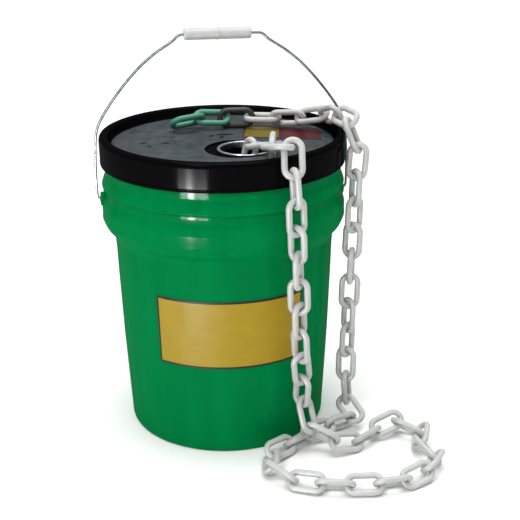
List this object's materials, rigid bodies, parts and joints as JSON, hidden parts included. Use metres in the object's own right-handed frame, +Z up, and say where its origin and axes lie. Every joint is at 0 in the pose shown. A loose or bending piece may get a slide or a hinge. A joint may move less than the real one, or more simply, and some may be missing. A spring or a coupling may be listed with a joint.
{
  "type": "pail of plastic chain",
  "caption": "Round plastic pail with a press-on lid, wire bail and roller grip; plastic chain comes out of a ringed hole in the lid, loops on the floor and ends on the lid.",
  "frame": {"origin": "centre of the whole object's box, on the floor", "axes": "+Z up; the bail's pivots lie along X; the label faces -Y; the loop of chain lies towards +X and -Y"},
  "size_m": [0.4123, 0.4166, 0.519],
  "materials": {
    "green_plastic": "moulded high density polyethylene, satin gloss",
    "black_plastic": "moulded polyethylene, glossy",
    "ring_metal": "plated, pressed",
    "label_film": "printed vinyl film, satin",
    "white_plastic": "moulded polyethylene, satin",
    "bail_steel": "drawn and galvanised wire",
    "grip_plastic": "moulded, satin",
    "teal_plastic": "moulded polyethylene, satin",
    "dark_plastic": "moulded polyethylene, satin"
  },
  "bodies": {
    "pail": {"pail": "green_plastic", "lid": "black_plastic", "hole_ring": "ring_metal", "label": "label_film", "chain_heap": "white_plastic", "link_01": "teal_plastic", "link_02": "teal_plastic", "link_03": "dark_plastic", "link_04": "white_plastic", "link_05": "white_plastic", "link_06": "white_plastic", "link_07": "white_plastic", "link_08": "white_plastic", "link_09": "white_plastic", "link_10": "white_plastic", "link_11": "white_plastic", "link_12": "white_plastic", "link_13": "white_plastic", "link_14": "white_plastic", "link_15": "white_plastic", "link_16": "white_plastic", "link_17": "white_plastic", "link_18": "white_plastic", "link_19": "white_plastic", "link_20": "white_plastic", "link_21": "white_plastic", "link_22": "white_plastic", "link_23": "white_plastic", "link_24": "white_plastic", "link_25": "white_plastic", "link_26": "white_plastic", "link_27": "white_plastic", "link_28": "white_plastic", "link_29": "white_plastic", "link_30": "white_plastic", "link_31": "white_plastic", "link_32": "white_plastic", "link_33": "white_plastic", "link_34": "white_plastic", "link_35": "white_plastic", "link_36": "white_plastic", "link_37": "white_plastic", "link_38": "white_plastic", "link_39": "white_plastic", "link_40": "white_plastic", "link_41": "white_plastic", "link_42": "white_plastic", "link_43": "white_plastic", "link_44": "white_plastic", "link_45": "white_plastic", "link_46": "white_plastic", "link_47": "white_plastic", "link_48": "white_plastic", "link_49": "white_plastic", "link_50": "white_plastic", "link_51": "white_plastic", "link_52": "white_plastic", "link_53": "white_plastic"},
    "bail": {"bail_wire": "bail_steel"},
    "grip": {"grip": "grip_plastic"}
  },
  "joints": [
    {"name": "bail_swing", "type": "hinge", "parent": "pail", "child": "bail", "pos_m": [-0.0424, 0.0521, 0.3075], "axis": [1, 0, 0], "range_deg": [-110, 1]},
    {"name": "grip_spin", "type": "hinge", "parent": "bail", "child": "grip", "pos_m": [-0.0462, 0.0521, 0.5117], "axis": [1, 0, 0], "continuous": true}
  ]
}
